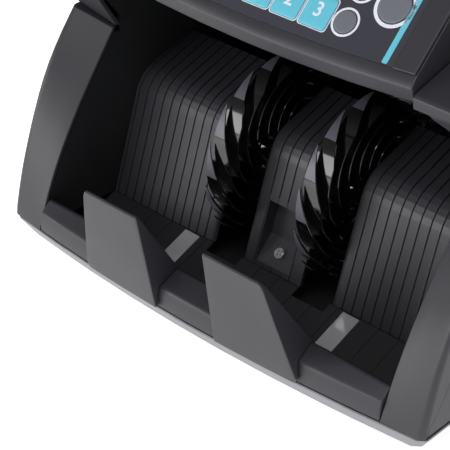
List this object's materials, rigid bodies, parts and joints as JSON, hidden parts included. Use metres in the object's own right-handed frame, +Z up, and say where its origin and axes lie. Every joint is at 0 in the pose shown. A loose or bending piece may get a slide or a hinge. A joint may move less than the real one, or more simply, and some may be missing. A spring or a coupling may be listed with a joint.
{
  "type": "banknote counting machine",
  "caption": "Desktop banknote counting machine with an open stacking bay, finned stacker wheels, note stops, sloped keypad head and rear feed hopper.",
  "frame": {"origin": "middle of the footprint, at the underside of the feet", "axes": "+Z up; the stacking bay and the operator side face -Y; +X is the operator's right"},
  "size_m": [0.29, 0.2438, 0.2459],
  "materials": {
    "housing_plastic": "satin charcoal moulding",
    "inner_plastic": "matte black moulding",
    "base_plastic": "matte grey moulding",
    "rubber": "matte rubber",
    "clear_plastic": "polished sensor window",
    "steel": "turned and plated",
    "frame_steel": "dark painted sheet",
    "wheel_plastic": "glossy black moulding",
    "panel_film": "satin printed film",
    "key_turquoise": "satin printed key",
    "key_grey": "satin printed key",
    "display_plastic": "polished dark window",
    "circuit_board": "lacquered board"
  },
  "bodies": {
    "machine": {"base_tray": "base_plastic", "front_apron": "housing_plastic", "tray_floor": "inner_plastic", "left_tray_window": "clear_plastic", "right_tray_window": "clear_plastic", "left_bay_wall": "housing_plastic", "right_bay_wall": "housing_plastic", "bay_wall_middle": "housing_plastic", "bay_screw": "steel", "left_note_stop": "housing_plastic", "right_note_stop": "housing_plastic", "left_front_band": "housing_plastic", "right_front_band": "housing_plastic", "left_side_cover": "housing_plastic", "right_side_cover": "housing_plastic", "left_side_frame": "frame_steel", "right_side_frame": "frame_steel", "upper_housing": "housing_plastic", "head_housing": "housing_plastic", "keypad_overlay": "panel_film", "display_window": "display_plastic", "left_bezel": "housing_plastic", "right_bezel": "housing_plastic", "bay_roof": "inner_plastic", "hopper_plate": "housing_plastic", "main_motor": "steel", "drive_belt": "rubber", "rear_panel": "housing_plastic", "power_inlet": "inner_plastic", "main_board": "circuit_board", "foot_front_left": "rubber", "foot_front_right": "rubber", "foot_back_left": "rubber", "foot_back_right": "rubber"},
    "stacker": {"left_stacker_wheel": "wheel_plastic", "right_stacker_wheel": "wheel_plastic", "stacker_shaft": "steel"},
    "feed_roller": {"feed_roller": "rubber"},
    "pickup_roller": {"pickup_roller": "rubber"},
    "retard_roller": {"retard_roller": "rubber"},
    "pinch_roller": {"pinch_roller": "rubber"},
    "motor_pulley": {"motor_pulley": "steel"},
    "left_guide": {"left_hopper_guide": "housing_plastic"},
    "right_guide": {"right_hopper_guide": "housing_plastic"},
    "thickness_knob": {"thickness_knob": "inner_plastic"},
    "rocker_switch": {"rocker_switch": "inner_plastic"},
    "rear_door": {"rear_door": "housing_plastic"},
    "key_0": {"key_0": "key_turquoise"},
    "key_1": {"key_1": "key_turquoise"},
    "key_2": {"key_2": "key_turquoise"},
    "key_3": {"key_3": "key_turquoise"},
    "key_4": {"key_4": "key_turquoise"},
    "key_5": {"key_5": "key_turquoise"},
    "key_6": {"key_6": "key_turquoise"},
    "key_7": {"key_7": "key_turquoise"},
    "key_8": {"key_8": "key_turquoise"},
    "key_9": {"key_9": "key_turquoise"},
    "small_key_lower": {"small_key_lower": "key_grey"},
    "small_key_upper": {"small_key_upper": "key_grey"},
    "start_key": {"start_key": "key_grey"}
  },
  "joints": [
    {"name": "stacker_spin", "type": "hinge", "parent": "machine", "child": "stacker", "pos_m": [0, -0.0046, 0.0665], "axis": [1, 0, 0], "continuous": true},
    {"name": "feed_spin", "type": "hinge", "parent": "machine", "child": "feed_roller", "pos_m": [0, 0.0376, 0.16485], "axis": [1, 0, 0], "continuous": true},
    {"name": "pickup_spin", "type": "hinge", "parent": "machine", "child": "pickup_roller", "pos_m": [0, 0.07923, 0.20274], "axis": [1, 0, 0], "continuous": true},
    {"name": "retard_spin", "type": "hinge", "parent": "machine", "child": "retard_roller", "pos_m": [0, 0.00434, 0.17696], "axis": [1, 0, 0], "continuous": true},
    {"name": "pinch_spin", "type": "hinge", "parent": "machine", "child": "pinch_roller", "pos_m": [0, 0.00663, 0.15234], "axis": [1, 0, 0], "continuous": true},
    {"name": "motor_spin", "type": "hinge", "parent": "machine", "child": "motor_pulley", "pos_m": [0, 0.0707, 0.056], "axis": [1, 0, 0], "continuous": true},
    {"name": "left_guide_slide", "type": "slide", "parent": "machine", "child": "left_guide", "axis": [1, 0, 0], "range_m": [0, 0.028]},
    {"name": "right_guide_slide", "type": "slide", "parent": "machine", "child": "right_guide", "axis": [-1, 0, 0], "range_m": [0, 0.028]},
    {"name": "knob_turn", "type": "hinge", "parent": "machine", "child": "thickness_knob", "pos_m": [0, 0.0117, 0.23], "axis": [0, 0, 1], "range_deg": [-150, 150]},
    {"name": "switch_rock", "type": "hinge", "parent": "machine", "child": "rocker_switch", "pos_m": [0.058, 0.1141, 0.052], "axis": [1, 0, 0], "range_deg": [-7, 7]},
    {"name": "door_hinge", "type": "hinge", "parent": "machine", "child": "rear_door", "pos_m": [0, 0.1155, 0.115], "axis": [-1, 0, 0], "range_deg": [0, 80]},
    {"name": "key_0_press", "type": "slide", "parent": "machine", "child": "key_0", "axis": [0, 0.6947, -0.7193], "range_m": [0, 0.0005], "stiffness_N_per_m": 300},
    {"name": "key_1_press", "type": "slide", "parent": "machine", "child": "key_1", "axis": [0, 0.6947, -0.7193], "range_m": [0, 0.0005], "stiffness_N_per_m": 300},
    {"name": "key_2_press", "type": "slide", "parent": "machine", "child": "key_2", "axis": [0, 0.6947, -0.7193], "range_m": [0, 0.0005], "stiffness_N_per_m": 300},
    {"name": "key_3_press", "type": "slide", "parent": "machine", "child": "key_3", "axis": [0, 0.6947, -0.7193], "range_m": [0, 0.0005], "stiffness_N_per_m": 300},
    {"name": "key_4_press", "type": "slide", "parent": "machine", "child": "key_4", "axis": [0, 0.6947, -0.7193], "range_m": [0, 0.0005], "stiffness_N_per_m": 300},
    {"name": "key_5_press", "type": "slide", "parent": "machine", "child": "key_5", "axis": [0, 0.6947, -0.7193], "range_m": [0, 0.0005], "stiffness_N_per_m": 300},
    {"name": "key_6_press", "type": "slide", "parent": "machine", "child": "key_6", "axis": [0, 0.6947, -0.7193], "range_m": [0, 0.0005], "stiffness_N_per_m": 300},
    {"name": "key_7_press", "type": "slide", "parent": "machine", "child": "key_7", "axis": [0, 0.6947, -0.7193], "range_m": [0, 0.0005], "stiffness_N_per_m": 300},
    {"name": "key_8_press", "type": "slide", "parent": "machine", "child": "key_8", "axis": [0, 0.6947, -0.7193], "range_m": [0, 0.0005], "stiffness_N_per_m": 300},
    {"name": "key_9_press", "type": "slide", "parent": "machine", "child": "key_9", "axis": [0, 0.6947, -0.7193], "range_m": [0, 0.0005], "stiffness_N_per_m": 300},
    {"name": "small_key_lower_press", "type": "slide", "parent": "machine", "child": "small_key_lower", "axis": [0, 0.6947, -0.7193], "range_m": [0, 0.0005], "stiffness_N_per_m": 300},
    {"name": "small_key_upper_press", "type": "slide", "parent": "machine", "child": "small_key_upper", "axis": [0, 0.6947, -0.7193], "range_m": [0, 0.0005], "stiffness_N_per_m": 300},
    {"name": "start_key_press", "type": "slide", "parent": "machine", "child": "start_key", "axis": [0, 0.6947, -0.7193], "range_m": [0, 0.0005], "stiffness_N_per_m": 300}
  ],
  "couplings": [
    {"joint": "feed_spin", "follows": "stacker_spin", "ratio": 1.2308},
    {"joint": "pickup_spin", "follows": "stacker_spin", "ratio": 1.2308},
    {"joint": "retard_spin", "follows": "stacker_spin", "ratio": -3.5556},
    {"joint": "pinch_spin", "follows": "stacker_spin", "ratio": -4.5714},
    {"joint": "motor_spin", "follows": "stacker_spin", "ratio": 2},
    {"joint": "right_guide_slide", "follows": "left_guide_slide", "ratio": 1}
  ]
}
